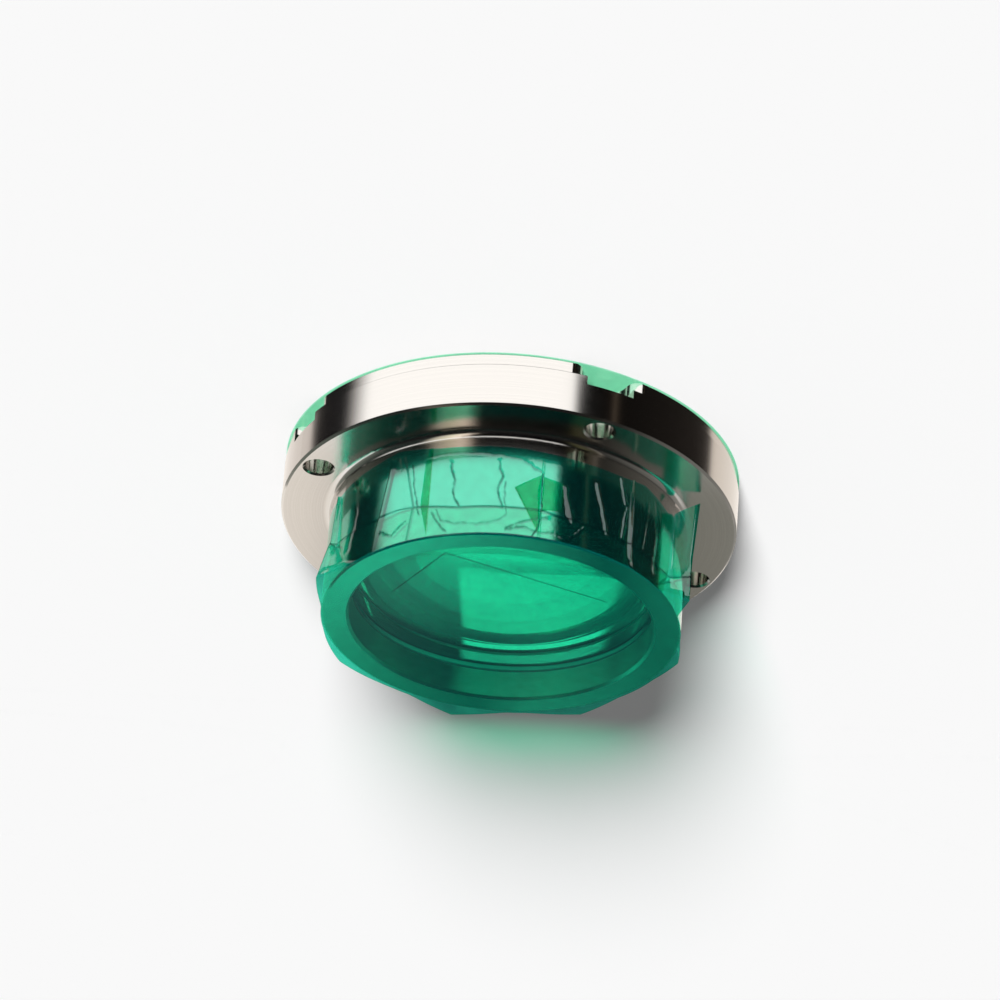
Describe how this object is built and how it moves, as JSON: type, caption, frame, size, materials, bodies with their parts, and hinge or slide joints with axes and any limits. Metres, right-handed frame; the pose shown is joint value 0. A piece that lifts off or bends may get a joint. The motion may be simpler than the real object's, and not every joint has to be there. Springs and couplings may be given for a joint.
{
  "type": "laser focusing lens assembly",
  "caption": "Round flanged steel lens holder with a short barrel and a clamped lens pair, its screw heads sunk in open slots, both ends under green protective film.",
  "frame": {"origin": "centre of the face that the part stands on, the film under the flange", "axes": "+Z along the optical axis from the flange to the barrel end; +X and +Y through screw holes"},
  "size_m": [0.072, 0.072, 0.028],
  "materials": {
    "holder_steel": "fine turned stainless steel",
    "retainer_steel": "turned stainless steel",
    "spring_steel": "rolled spring strip",
    "ring_aluminium": "turned, plain",
    "lens_silica": "polished, coated fused silica",
    "gasket_ptfe": "skived sheet",
    "film_green": "clear green polyester film"
  },
  "bodies": {
    "root": {"lens_holder": "holder_steel", "seat_gasket": "gasket_ptfe", "front_lens": "lens_silica", "spacer_ring": "ring_aluminium", "rear_lens": "lens_silica", "pressure_ring": "ring_aluminium", "wave_spring": "spring_steel", "retaining_ring": "retainer_steel", "barrel_film_first": "film_green", "barrel_film_second": "film_green", "flange_film": "film_green"}
  },
  "joints": []
}
